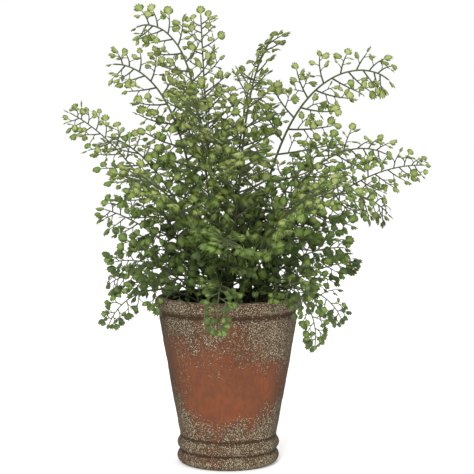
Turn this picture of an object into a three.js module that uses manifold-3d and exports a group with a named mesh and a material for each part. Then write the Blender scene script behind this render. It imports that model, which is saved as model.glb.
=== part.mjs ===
// A maidenhair fern in an aged clay pot: the pot, its soil, the rhizome that lies in the soil's
// surface, and the fronds that rise from it. Each frond is a stalk and the leafy blade on it.
// Millimetres, +Z up. The origin is the middle of the pot's base, and the pot's front faces -Y.

import * as THREE from "three";
import { mergeVertices } from "three/addons/utils/BufferGeometryUtils.js";
import Module from "manifold-3d";

const GAP = 0.3; // clearance between pieces that touch

// The pot: a tapered wall with a rolled rim, standing on two rolled bands.
const POT = {
  height: 180,
  rimRadius: 79,
  rimRoll: 6.5, // radius of the rolled rim's section
  neckRadius: 74.2, // outside of the wall just under the rim
  waistRadius: 51.8, // outside of the wall just over the bands
  bandRadius: 55,
  bandHeight: 14.5,
  wall: 7,
  floor: 10,
  sides: 36,
  arcSteps: 2,
};
const DRAIN_HOLES = { count: 3, radius: 6, circle: 24, sides: 12 };

// The soil, and the rhizome's dome that rises out of it.
const SOIL = { level: 160, crown: 2, sides: 28 };
const RHIZOME = { radius: 26, rise: 11, depth: 16, sides: 24, rings: 4 };

// What every frond shares.
const STALK = {
  footRadius: 1.45,
  tipRadius: 0.6,
  sides: 5,
  bare: 12, // the stretch below the blade is this long, and a share of the stalk's length more
  bareShare: 0.08,
  bareRings: 2,
};
const BLADE = {
  fewestLobes: 3, // on each side, and one more for every lobePitch of the blade's length
  lobePitch: 42,
  crowding: 1.25, // how much closer the lobes stand towards the tip
  thickness: 0.8, // along the midline; the lobes thin out to their ends
  lobeEnd: 3.6, // half the width of a full lobe at its end
  shortest: 8, // length of the shortest lobe
  forward: 62, // degrees between the stalk and a lobe
  stagger: 3, // lobes of one side lie alternately this far above and below the blade
  bendShare: 0.62, // a lobe's length, at most, as a share of the radius it is bent round
};

// The fronds, from the middle of the plant outwards. Angles are in degrees, and sizes in mm.
// turn: the way the frond grows, 0 to the right (+X), 90 to the back, 270 to the front
// lean: how far it leans from the vertical, at its foot and at its tip
// length: along the stalk; late: 1 bends evenly, and more leaves the bend for the tip
// roll: 0 for a blade that faces up and outwards, 90 for one in the plane of its own arch
// spread: the length of the longest lobe
const FRONDS = [
  // tall, in the middle
  { turn: 179, lean: [7, 116], length: 333, late: 8.5, roll: -75, spread: 58 },
  { turn: 146, lean: [7, 3], length: 311, late: 1, roll: -80, spread: 48 },
  { turn: 297, lean: [8, 60], length: 302, late: 4, roll: 27, spread: 54 },
  { turn: 250, lean: [12, 60], length: 262, late: 2.5, roll: -35, spread: 55 },
  { turn: 75, lean: [10, 50], length: 275, late: 2.5, roll: 30, spread: 55 },
  { turn: 110, lean: [14, 65], length: 270, late: 2.5, roll: -25, spread: 55 },
  // arching to the sides
  { turn: 2, lean: [14, 130], length: 333, late: 4.2, roll: 75, spread: 62 },
  { turn: 176, lean: [12, 92], length: 297, late: 5.5, roll: -75, spread: 58 },
  { turn: 350, lean: [23, 118], length: 250, late: 3.3, roll: 60, spread: 50 },
  { turn: 183, lean: [28, 62], length: 259, late: 3, roll: -70, spread: 43 },
  { turn: 4, lean: [35, 92], length: 258, late: 2.2, roll: 65, spread: 44 },
  { turn: 20, lean: [18, 134], length: 243, late: 1.6, roll: 70, spread: 48 },
  // arching to the front and the back
  { turn: 279, lean: [18, 80], length: 230, late: 2, roll: 25, spread: 55 },
  { turn: 235, lean: [26, 95], length: 225, late: 2, roll: -40, spread: 52 },
  { turn: 310, lean: [30, 100], length: 220, late: 2, roll: 35, spread: 52 },
  { turn: 140, lean: [26, 80], length: 255, late: 2.2, roll: -30, spread: 55 },
  { turn: 40, lean: [25, 80], length: 240, late: 2.2, roll: 30, spread: 52 },
  { turn: 84, lean: [34, 106], length: 180, late: 2, roll: -15, spread: 50 },
  // short, or low and leaning out over the rim
  { turn: 168, lean: [34, 75], length: 162, late: 1.5, roll: -60, spread: 44 },
  { turn: 202, lean: [45, 100], length: 123, late: 2, roll: -50, spread: 36 },
  { turn: 158, lean: [54, 122], length: 129, late: 1.6, roll: -50, spread: 34 },
  { turn: 216, lean: [59, 153], length: 142, late: 1.8, roll: -40, spread: 24 },
  { turn: 16, lean: [60, 86], length: 128, late: 2, roll: 55, spread: 28 },
  { turn: 332, lean: [51, 152], length: 126, late: 1.5, roll: 55, spread: 28 },
  { turn: 310, lean: [50, 190], length: 158, late: 1.6, roll: 40, spread: 22 },
  { turn: 270, lean: [34, 112], length: 172, late: 1.8, roll: -20, spread: 46 },
  { turn: 343, lean: [41, 92], length: 132, late: 1.8, roll: 50, spread: 38 },
  { turn: 266, lean: [52, 170], length: 151, late: 1.9, roll: -10, spread: 22 },
];

const wasm = await Module();
wasm.setup();

const radians = THREE.MathUtils.degToRad;

// A geometry as a manifold-3d solid, and back.
function toSolid(geometry) {
  const bare = new THREE.BufferGeometry();
  bare.setAttribute("position", geometry.getAttribute("position"));
  if (geometry.index) bare.setIndex(geometry.index);
  const merged = mergeVertices(bare, 1e-4);
  return new wasm.Manifold(
    new wasm.Mesh({
      numProp: 3,
      vertProperties: new Float32Array(merged.getAttribute("position").array),
      triVerts: new Uint32Array(merged.index.array),
    }),
  );
}

function toGeometry(solid) {
  const { numProp, numVert, vertProperties, triVerts } = solid.getMesh();
  const position = new Float32Array(numVert * 3);
  for (let i = 0; i < numVert; i++)
    position.set(vertProperties.subarray(i * numProp, i * numProp + 3), i * 3);
  return new THREE.BufferGeometry()
    .setAttribute("position", new THREE.BufferAttribute(position, 3))
    .setIndex(new THREE.BufferAttribute(triVerts, 1));
}

function geometryOf(points, faces) {
  return new THREE.BufferGeometry()
    .setAttribute(
      "position",
      new THREE.Float32BufferAttribute(points.flatMap((p) => p.toArray()), 3),
    )
    .setIndex(faces.flat());
}

// A solid of revolution about +Z from an outline of (radius, height) points, drawn upwards on its
// outside. LatheGeometry turns about +Y, so it is laid over to +Z.
function turned(outline, sides) {
  return new THREE.LatheGeometry(outline, sides).rotateX(Math.PI / 2);
}

function potOutline() {
  const { height, rimRadius, rimRoll, neckRadius, waistRadius, bandRadius, bandHeight, wall, floor } =
    POT;
  const roll = bandHeight / 2;
  const bandCentre = bandRadius - roll;
  const rimCentre = rimRadius - rimRoll;
  const bandTop = 2 * bandHeight;
  const path = new THREE.Path();
  path.moveTo(0, 0);
  path.lineTo(bandCentre, 0);
  path.absarc(bandCentre, roll, roll, -Math.PI / 2, Math.PI / 2.6, false);
  path.absarc(bandCentre, 3 * roll, roll, -Math.PI / 2.6, Math.PI / 2, false);
  path.lineTo(waistRadius, bandTop + 1.5);
  path.lineTo(neckRadius, height - 2 * rimRoll - 1.5);
  path.absarc(rimCentre, height - rimRoll, rimRoll, -Math.PI / 2.4, Math.PI / 2, false);
  path.lineTo(neckRadius - wall, height - rimRoll);
  path.lineTo(waistRadius - wall, floor);
  path.lineTo(0, floor);
  return path.getPoints(POT.arcSteps);
}

// Inner radius of the pot's wall at a height.
function insideRadius(z) {
  const { height, rimRoll, neckRadius, waistRadius, wall, floor } = POT;
  const share = (z - floor) / (height - rimRoll - floor);
  return THREE.MathUtils.lerp(waistRadius, neckRadius, share) - wall;
}

function potGeometry() {
  let pot = toSolid(turned(potOutline(), POT.sides));
  for (let i = 0; i < DRAIN_HOLES.count; i++) {
    const angle = (2 * Math.PI * (i + 0.25)) / DRAIN_HOLES.count;
    const hole = new THREE.CylinderGeometry(
      DRAIN_HOLES.radius,
      DRAIN_HOLES.radius,
      4 * POT.floor,
      DRAIN_HOLES.sides,
    )
      .rotateX(Math.PI / 2)
      .translate(DRAIN_HOLES.circle * Math.cos(angle), DRAIN_HOLES.circle * Math.sin(angle), 0);
    pot = pot.subtract(toSolid(hole));
  }
  return toGeometry(pot);
}

// A plain ring that holds the upper wall and the rim, with clearance all round.
function wallClearance() {
  const { height, rimRadius, rimRoll, neckRadius, bandRadius, bandHeight } = POT;
  const outline = [
    [insideRadius(bandHeight) - GAP, bandHeight],
    [bandRadius + GAP, bandHeight],
    [neckRadius + 2 * GAP, height - 2 * rimRoll - 2],
    [rimRadius + GAP, height - 2 * rimRoll],
    [rimRadius + GAP, height + GAP],
    [insideRadius(height) - GAP, height + GAP],
    [insideRadius(bandHeight) - GAP, bandHeight],
  ];
  return turned(
    outline.map(([radius, z]) => new THREE.Vector2(radius, z)),
    POT.sides,
  );
}

// The rhizome is a low dome over a rounded underside. Its outline is a half ellipse above the soil
// and another below it.
function rhizomeOutline(grow = 0) {
  const steps = RHIZOME.rings;
  const points = [];
  for (let i = -steps; i <= steps; i++) {
    const angle = (i / steps) * (Math.PI / 2);
    const half = (i < 0 ? RHIZOME.depth : RHIZOME.rise) + grow;
    points.push(
      new THREE.Vector2(
        Math.abs(i) === steps ? 0 : (RHIZOME.radius + grow) * Math.cos(angle),
        SOIL.level + half * Math.sin(angle),
      ),
    );
  }
  return points;
}

// The soil fills the pot up to its level, a little higher in the middle, and has a pocket that
// holds the rhizome.
function soilGeometry() {
  const floor = POT.floor + GAP;
  const outline = [
    new THREE.Vector2(0, floor),
    new THREE.Vector2(insideRadius(floor) - GAP, floor),
    new THREE.Vector2(insideRadius(SOIL.level) - GAP, SOIL.level),
    new THREE.Vector2(insideRadius(SOIL.level) * 0.72, SOIL.level + SOIL.crown),
    new THREE.Vector2(0, SOIL.level + SOIL.crown),
  ];
  const pocket = turned(rhizomeOutline(GAP), RHIZOME.sides);
  return toGeometry(toSolid(turned(outline, SOIL.sides)).subtract(toSolid(pocket)));
}

// The way a frond points at a share of its length.
function heading(frond, share) {
  const [foot, tip] = frond.lean;
  const lean = radians(foot + (tip - foot) * share ** frond.late);
  const turn = radians(frond.turn);
  return new THREE.Vector3(
    Math.sin(lean) * Math.cos(turn),
    Math.sin(lean) * Math.sin(turn),
    Math.cos(lean),
  );
}

// A frond's foot stands on the rhizome's dome, further out the more the frond leans.
function footPoint(frond, index) {
  const out = Math.min(0.85, 0.16 + (0.72 * frond.lean[0]) / 60 + 0.08 * (index % 2));
  const turn = radians(frond.turn);
  const rise = Math.sqrt(1 - out * out);
  const onDome = new THREE.Vector3(
    RHIZOME.radius * out * Math.cos(turn),
    RHIZOME.radius * out * Math.sin(turn),
    RHIZOME.rise * rise,
  );
  const outward = new THREE.Vector3(
    onDome.x / RHIZOME.radius ** 2,
    onDome.y / RHIZOME.radius ** 2,
    onDome.z / RHIZOME.rise ** 2,
  ).normalize();
  const tilt = outward.clone().cross(heading(frond, 0)).length();
  return onDome
    .add(new THREE.Vector3(0, 0, SOIL.level))
    .addScaledVector(outward, GAP + STALK.footRadius * tilt);
}

// The shares of a frond's length at which its stalk has a ring: a few below the blade, one at the
// root of each lobe, and one at the tip.
function ringShares(frond) {
  const start = STALK.bare / frond.length + STALK.bareShare;
  const lobes = Math.round(BLADE.fewestLobes + (frond.length * (1 - start)) / BLADE.lobePitch);
  const shares = [];
  for (let i = 0; i <= STALK.bareRings; i++) shares.push((start * i) / (STALK.bareRings + 1));
  for (let i = 0; i <= lobes; i++) {
    const along = 1 - (1 - i / (lobes + 0.6)) ** BLADE.crowding;
    shares.push(start + (1 - start) * along);
  }
  shares.push(1);
  return shares;
}

// The frond's rings, each with its point, the way the stalk runs there, the blade's side and its
// face, and the radius that the stalk is bent round.
function frondRings(frond, index) {
  const steps = 240;
  const point = footPoint(frond, index);
  const shares = ringShares(frond);
  const turn = radians(frond.turn);
  const level = new THREE.Vector3(-Math.sin(turn), Math.cos(turn), 0);
  const roll = radians(frond.roll);
  const [footLean, tipLean] = frond.lean;
  const rings = [];
  for (let i = 0; i <= steps; i++) {
    const share = i / steps;
    if (rings.length < shares.length && share >= shares[rings.length] - 1e-9) {
      const along = heading(frond, share);
      const face = along.clone().cross(level);
      const side = level.clone().multiplyScalar(Math.cos(roll)).addScaledVector(face, Math.sin(roll));
      const turning = radians(Math.abs(tipLean - footLean)) * frond.late * share ** (frond.late - 1);
      rings.push({
        share,
        point: point.clone(),
        along,
        side,
        face: along.clone().cross(side),
        bend: frond.length / Math.max(turning, 1e-3),
        radius: THREE.MathUtils.lerp(STALK.footRadius, STALK.tipRadius, share),
      });
    }
    point.addScaledVector(heading(frond, share + 0.5 / steps), frond.length / steps);
  }
  return rings;
}

// A tapered tube through the rings, closed at both ends.
function stalkGeometry(rings, grow = 0) {
  const points = [];
  const faces = [];
  const n = STALK.sides;
  rings.forEach((ring, k) => {
    for (let i = 0; i < n; i++) {
      const angle = (2 * Math.PI * i) / n;
      points.push(
        ring.point
          .clone()
          .addScaledVector(ring.side, (ring.radius + grow) * Math.cos(angle))
          .addScaledVector(ring.face, (ring.radius + grow) * Math.sin(angle)),
      );
    }
    if (k === 0) return;
    for (let i = 0; i < n; i++) {
      const [a, b] = [(k - 1) * n + i, (k - 1) * n + ((i + 1) % n)];
      faces.push([a, b, b + n], [a, b + n, a + n]);
    }
  });
  const last = (rings.length - 1) * n;
  for (let i = 1; i < n - 1; i++) faces.push([0, i + 1, i], [last, last + i, last + i + 1]);
  return geometryOf(points, faces);
}

// A full lobe's length, as a share of the frond's spread, at a share of the way along the blade.
function lobeShare(along) {
  return Math.min(1, 0.55 + 3.2 * along) * (1 - 0.85 * along ** 2);
}

// The blade is a sheet of pointed lobes, set alternately left and right along a midline that lies
// on the stalk. Each lobe is a row of leaflets in outline. The midline has an upper and a lower
// edge, and the lobes thin out from it to a sharp end.
function bladeGeometry(frond, rings, grow = 0) {
  const roots = rings.slice(STALK.bareRings + 1);
  const lobes = roots.length - 2;
  const stations = [];
  roots.forEach((ring, k) => {
    stations.push(ring);
    if (k >= lobes) return;
    const next = roots[k + 1];
    stations.push({
      ...ring,
      point: ring.point.clone().lerp(next.point, 0.5),
      radius: (ring.radius + next.radius) / 2,
      face: ring.face.clone().lerp(next.face, 0.5).normalize(),
      along: ring.along.clone().lerp(next.along, 0.5).normalize(),
    });
  });
  const points = [];
  const faces = [];
  for (const { point, face, radius } of stations) {
    const lower = radius + GAP - 2 * grow;
    const upper = radius + GAP + BLADE.thickness + 2 * grow;
    points.push(point.clone().addScaledVector(face, upper), point.clone().addScaledVector(face, lower));
  }
  const count = stations.length;
  const upperAt = (j) => 2 * j;
  const lowerAt = (j) => 2 * j + 1;
  const addLobe = (first, hand) => {
    const station = stations[first + 1];
    const full = frond.spread * lobeShare(first / (count - 1));
    const inside = hand * Math.sin(radians(frond.roll)) < 0 ? station.bend * BLADE.bendShare : Infinity;
    const length = Math.max(BLADE.shortest, Math.min(full, inside));
    const half = BLADE.lobeEnd * Math.sqrt(full / frond.spread) + grow;
    const lift = BLADE.stagger * ((first >> 1) % 2 ? 1 : -1) * Math.min(1, length / 40);
    const forward = radians(BLADE.forward);
    const root = station.point
      .clone()
      .addScaledVector(station.face, station.radius + GAP + BLADE.thickness / 2);
    const [near, far] = [-half, half].map((across) => {
      const reach = new THREE.Vector3()
        .addScaledVector(station.side, hand * (length * Math.sin(forward) - across * Math.cos(forward)))
        .addScaledVector(station.along, length * Math.cos(forward) + across * Math.sin(forward))
        .addScaledVector(station.face, lift);
      return points.push(root.clone().addScaledVector(reach, 1 + (40 * grow) / length)) - 1;
    });
    const lobe = [
      [upperAt(first), near, upperAt(first + 1)],
      [near, far, upperAt(first + 1)],
      [upperAt(first + 1), far, upperAt(first + 2)],
      [lowerAt(first), lowerAt(first + 1), near],
      [near, lowerAt(first + 1), far],
      [lowerAt(first + 1), lowerAt(first + 2), far],
      [upperAt(first), lowerAt(first), near],
      [upperAt(first + 2), far, lowerAt(first + 2)],
    ];
    faces.push(...(hand > 0 ? lobe.map(([a, b, c]) => [a, c, b]) : lobe));
  };
  for (let k = 0; k < lobes; k++) {
    addLobe(2 * k, 1);
    addLobe(2 * k + 1, -1);
  }
  const last = count - 1;
  faces.push([upperAt(0), lowerAt(0), lowerAt(1)], [upperAt(0), lowerAt(1), upperAt(1)]);
  faces.push(
    [upperAt(last), lowerAt(last), lowerAt(last - 1)],
    [upperAt(last), lowerAt(last - 1), upperAt(last - 1)],
  );
  return geometryOf(points, faces);
}

// What is left of a blade where others already grow: the largest piece, which holds the midline.
function clearOf(blade, others) {
  const reach = blade.boundingBox();
  const apart = (other) => {
    const box = other.boundingBox();
    return [0, 1, 2].some((k) => box.min[k] > reach.max[k] || box.max[k] < reach.min[k]);
  };
  const cut = others.filter((other) => !apart(other)).reduce((left, other) => left.subtract(other), blade);
  return cut.decompose().reduce((a, b) => (a.volume() > b.volume() ? a : b));
}

const clay = new THREE.MeshStandardMaterial({ color: 0x8a4a32, roughness: 0.9, metalness: 0 });
const earth = new THREE.MeshStandardMaterial({ color: 0x2b211a, roughness: 1, metalness: 0 });
const root = new THREE.MeshStandardMaterial({ color: 0x4a3424, roughness: 0.95, metalness: 0 });
const stem = new THREE.MeshStandardMaterial({ color: 0x3d4a2c, roughness: 0.6, metalness: 0 });
const leaf = new THREE.MeshStandardMaterial({ color: 0x6f8f35, roughness: 0.6, metalness: 0 });

const fern = new THREE.Group();

function addPiece(name, geometry, material) {
  const mesh = new THREE.Mesh(geometry, material);
  mesh.name = name;
  fern.add(mesh);
}

addPiece("pot", potGeometry(), clay);
addPiece("soil", soilGeometry(), earth);
addPiece("rhizome", turned(rhizomeOutline(), RHIZOME.sides), root);

const grown = FRONDS.map((frond, index) => ({ frond, rings: frondRings(frond, index) }));
const stalks = grown.map(({ rings }) => toSolid(stalkGeometry(rings, GAP)));
const wall = toSolid(wallClearance());
const blades = [];
grown.forEach(({ frond, rings }, index) => {
  const number = String(index + 1).padStart(2, "0");
  const others = [wall, ...stalks.filter((_, i) => i !== index), ...blades];
  addPiece(`frond_${number}_stalk`, stalkGeometry(rings), stem);
  addPiece(
    `frond_${number}_blade`,
    toGeometry(clearOf(toSolid(bladeGeometry(frond, rings)), others)),
    leaf,
  );
  blades.push(toSolid(bladeGeometry(frond, rings, GAP)));
});

export default fern;
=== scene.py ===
import math
from itertools import combinations

import bpy
import numpy as np
from bpy.props import FloatProperty, FloatVectorProperty, IntProperty, PointerProperty
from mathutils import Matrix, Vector


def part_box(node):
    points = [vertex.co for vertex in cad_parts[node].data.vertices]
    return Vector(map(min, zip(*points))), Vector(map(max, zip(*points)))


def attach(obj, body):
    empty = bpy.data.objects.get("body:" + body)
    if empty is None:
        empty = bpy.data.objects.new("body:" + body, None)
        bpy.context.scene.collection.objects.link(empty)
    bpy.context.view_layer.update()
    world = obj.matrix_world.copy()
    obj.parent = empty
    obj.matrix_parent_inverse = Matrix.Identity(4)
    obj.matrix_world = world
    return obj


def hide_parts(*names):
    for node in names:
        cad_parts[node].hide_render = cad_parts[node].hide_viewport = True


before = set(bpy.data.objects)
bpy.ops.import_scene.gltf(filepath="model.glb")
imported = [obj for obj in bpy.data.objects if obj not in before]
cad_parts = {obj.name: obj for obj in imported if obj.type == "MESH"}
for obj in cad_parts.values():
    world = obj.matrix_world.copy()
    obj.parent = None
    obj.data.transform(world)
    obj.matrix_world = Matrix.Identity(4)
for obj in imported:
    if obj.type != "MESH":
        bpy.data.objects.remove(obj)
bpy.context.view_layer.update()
POT_LOW, POT_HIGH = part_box("pot")
SOIL_LOW, SOIL_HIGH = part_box("soil")
ROOT_LOW, ROOT_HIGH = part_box("rhizome")
FRONDS = sorted(name[6:8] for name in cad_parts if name.endswith("_stalk"))

bl_info = {
    "name": "Potted Fern",
    "version": (1, 0, 0),
    "blender": (4, 5, 0),
    "location": "View3D > Sidebar > Fern",
    "description": "Builds a maidenhair fern in an aged clay pot, leaflet by leaflet",
    "category": "Add Mesh",
}

MM = 0.001
COVE_DROP = 16.3 * MM  # from the top of the rim down to the middle of the groove under it
COARSE_GRAINS, FINE_GRAINS = 1080, 1450  # cells to the metre
DRAIN_HOLES, DRAIN_RADIUS, DRAIN_RING = 3, 6 * MM, 24 * MM
CRUMBS = 1500  # lumps of soil
OLD_STUBS = 34  # stubs of cut stalks on the rhizome
POT_SIDES, SOIL_SIDES, ROOT_SIDES, DRAIN_SIDES = 256, 160, 120, 48
RACHIS_SIDES, PINNA_SIDES, PETIOLE_SIDES, STUB_SIDES = 8, 5, 4, 6
WALL_ROWS, CURVE_ROWS = 70, 121
PETIOLE_RADIUS = 0.50 * MM
FLOOR_REACH = 40.0  # from the middle of the studio's floor to its sides
CAMERA_PLACE, CAMERA_TARGET = (0.0094, -1.5, 0.355), (0.0094, 0, 0.243)
SENSOR_WIDTH, LENS = 36, 106.5  # millimetres
LIGHT_TARGET = (0, 0, 0.25)
# each light's name, place, width and power
LIGHTS = (
    ("key", (-0.5, -2.4, 1.5), 0.8, 52),
    ("fill", (1.8, -1.0, 1.2), 1.4, 8),
    ("back", (0.6, 1.9, 1.7), 1.4, 10),
)


# ---- sizes and colours


class PotProperties(bpy.types.PropertyGroup):
    """The clay pot and what fills it."""

    height: FloatProperty(
        name="Height", description="From the base to the top of the rim",
        default=POT_HIGH[2] - POT_LOW[2], unit="LENGTH",
    )
    rim_radius: FloatProperty(
        name="Rim radius", description="Outside radius of the rolled rim",
        default=79 * MM, unit="LENGTH",
    )
    rim_roll: FloatProperty(
        name="Rim roll", description="Radius of the rolled rim's own section",
        default=6.5 * MM, unit="LENGTH",
    )
    neck_radius: FloatProperty(
        name="Neck radius", description="Outside radius of the wall under the rim",
        default=74.2 * MM, unit="LENGTH",
    )
    waist_radius: FloatProperty(
        name="Waist radius", description="Outside radius of the wall over the foot bands",
        default=51.8 * MM, unit="LENGTH",
    )
    band_radius: FloatProperty(
        name="Band radius", description="Outside radius of the two foot bands",
        default=54.8 * MM, unit="LENGTH",
    )
    band_height: FloatProperty(
        name="Band height", description="Height of each foot band", default=14.5 * MM, unit="LENGTH"
    )
    wall: FloatProperty(
        name="Wall", description="Thickness of the wall", default=7 * MM, unit="LENGTH"
    )
    floor: FloatProperty(
        name="Floor", description="Thickness of the floor", default=10 * MM, unit="LENGTH"
    )
    clay: FloatVectorProperty(
        name="Clay", description="Colour of bare clay", subtype="COLOR", default=(0.149, 0.053, 0.026)
    )
    rust: FloatVectorProperty(
        name="Rust", description="Colour of the redder patches of clay",
        subtype="COLOR", default=(0.186, 0.057, 0.024),
    )
    bloom: FloatVectorProperty(
        name="Bloom", description="Colour of the pale mineral grains",
        subtype="COLOR", default=(0.61, 0.53, 0.37),
    )
    grime: FloatVectorProperty(
        name="Grime", description="Colour of the dark moss and dirt between the grains",
        subtype="COLOR", default=(0.053, 0.035, 0.021),
    )


class FrondProperties(bpy.types.PropertyGroup):
    """The fronds, from their stalks to their leaflets."""

    leaflet: FloatProperty(
        name="Leaflet", description="Length of a full-grown leaflet", default=12.2 * MM, unit="LENGTH"
    )
    pitch: FloatProperty(
        name="Pitch", description="Distance between leaflets on one side of a pinna",
        default=13.4 * MM, unit="LENGTH",
    )
    gap: FloatProperty(
        name="Gap", description="Distance between pinnae on one side of a frond",
        default=25.5 * MM, unit="LENGTH",
    )
    stalk_radius: FloatProperty(
        name="Stalk radius", description="Radius of a frond's stalk at its foot",
        default=1.6 * MM, unit="LENGTH",
    )
    seed: IntProperty(name="Seed", description="Which growth of the leaflets is made", default=11)
    leaf: FloatVectorProperty(
        name="Leaf", description="Colour of a full-grown leaflet",
        subtype="COLOR", default=(0.156, 0.228, 0.044),
    )
    # the paler colour that leaflets at the outside of the plant take: new growth, and painted light
    young: FloatVectorProperty(
        name="Young leaf", description="Colour of leaflets at the outside of the plant",
        subtype="COLOR", default=(0.318, 0.350, 0.116),
    )
    wiry: FloatVectorProperty(
        name="Stalk", description="Colour of the stalks near the root",
        subtype="COLOR", default=(0.026, 0.031, 0.015),
    )
    green: FloatVectorProperty(
        name="Young stalk", description="Colour of the thinnest stalks",
        subtype="COLOR", default=(0.074, 0.093, 0.035),
    )


# ---- materials


class Wire:
    """A node's output. Sums and products of wires and numbers add Math nodes."""

    def __init__(self, finish, socket):
        self.finish = finish
        self.socket = socket

    def math(self, operation, *values):
        """A Math node's result, with this wire as its first value."""
        return self.finish.node(
            "ShaderNodeMath", {"operation": operation}, dict(enumerate((self, *values)))
        )

    def __add__(self, other):
        return self.math("ADD", other)

    def __sub__(self, other):
        return self.math("SUBTRACT", other)

    def __rsub__(self, other):
        return self.finish.node("ShaderNodeMath", {"operation": "SUBTRACT"}, {0: other, 1: self})

    def __mul__(self, other):
        return self.math("MULTIPLY", other)

    def __pow__(self, other):
        return self.math("POWER", other)

    def other(self, output):
        """Another output of the same node."""
        return Wire(self.finish, self.socket.node.outputs[output])

    __radd__ = __add__
    __rmul__ = __mul__

    def ramp(self, low, high):
        """0 below low, 1 above high, and smooth in between. high may be the lower one."""
        ends = {1: low, 2: high, 3: 0.0, 4: 1.0} if low < high else {1: high, 2: low, 3: 1.0, 4: 0.0}
        return self.finish.node(
            "ShaderNodeMapRange", {"interpolation_type": "SMOOTHSTEP"}, {0: self, **ends}
        )


class Finish:
    """A material and the nodes that make it. Its place is where a point is on the object, in metres."""

    def __init__(self, name):
        self.material = bpy.data.materials.new(name)
        self.material.use_nodes = True
        self.tree = self.material.node_tree
        self.tree.nodes.clear()
        self.place = self.node("ShaderNodeTexCoord", output="Object")

    def node(self, kind, settings=None, inputs=None, output=0):
        """Adds a node, sets its settings, then its sockets' values or links. Returns one output."""
        node = self.tree.nodes.new(kind)
        for name, value in (settings or {}).items():
            setattr(node, name, value)
        for name, value in (inputs or {}).items():
            if isinstance(value, Wire):
                self.tree.links.new(value.socket, node.inputs[name])
            else:
                node.inputs[name].default_value = value
        return Wire(self, node.outputs[output]) if len(node.outputs) else None

    def measure(self, name):
        """A number that is stored on the mesh."""
        return self.node("ShaderNodeAttribute", {"attribute_name": name}, output="Fac")

    def noise(self, scale, detail, roughness, place=None):
        """Soft noise from 0 to 1, in blots of about one over the scale across."""
        inputs = {"Scale": scale, "Detail": detail, "Roughness": roughness}
        return self.node("ShaderNodeTexNoise", {}, {"Vector": place or self.place, **inputs})

    def cells(self, scale):
        """Small cells, each about one over the scale across: how far a point is from its cell's
        middle, and a random number for the whole cell, whose other outputs are two more."""
        inputs = {"Vector": self.place, "Scale": scale}
        cells = self.node("ShaderNodeTexVoronoi", {"feature": "F1"}, inputs)
        return cells, self.node("ShaderNodeSeparateColor", {}, {0: cells.other("Color")})

    def mix(self, share, a, b):
        """Colour a where share is 0, and b where it is 1."""
        return self.node("ShaderNodeMix", {"data_type": "RGBA"}, {0: share, 6: a, 7: b}, output=2)

    def bump(self, height, distance, strength):
        """The surface's normal, tilted as a relief of this height would tilt it."""
        inputs = {"Height": height, "Distance": distance, "Strength": strength}
        return self.node("ShaderNodeBump", {}, inputs)

    def surface(self, **sockets):
        """The Principled shader, with its sockets named in words with underscores, as the output."""
        inputs = {name.replace("_", " "): value for name, value in sockets.items()}
        shader = self.node("ShaderNodeBsdfPrincipled", {}, inputs, output="BSDF")
        self.node("ShaderNodeOutputMaterial", {}, {"Surface": shader})
        return self.material


def shade(colour, strength=1.0):
    """A colour as a socket takes it, made darker by a strength under 1."""
    return (*(strength * part for part in colour), 1.0)


def near(height, level, reach):
    """1 at a level, and down to 0 at a reach above it and below it."""
    return (1 - (height - level).math("ABSOLUTE") * (1 / reach)).math("MAXIMUM", 0.0)


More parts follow.
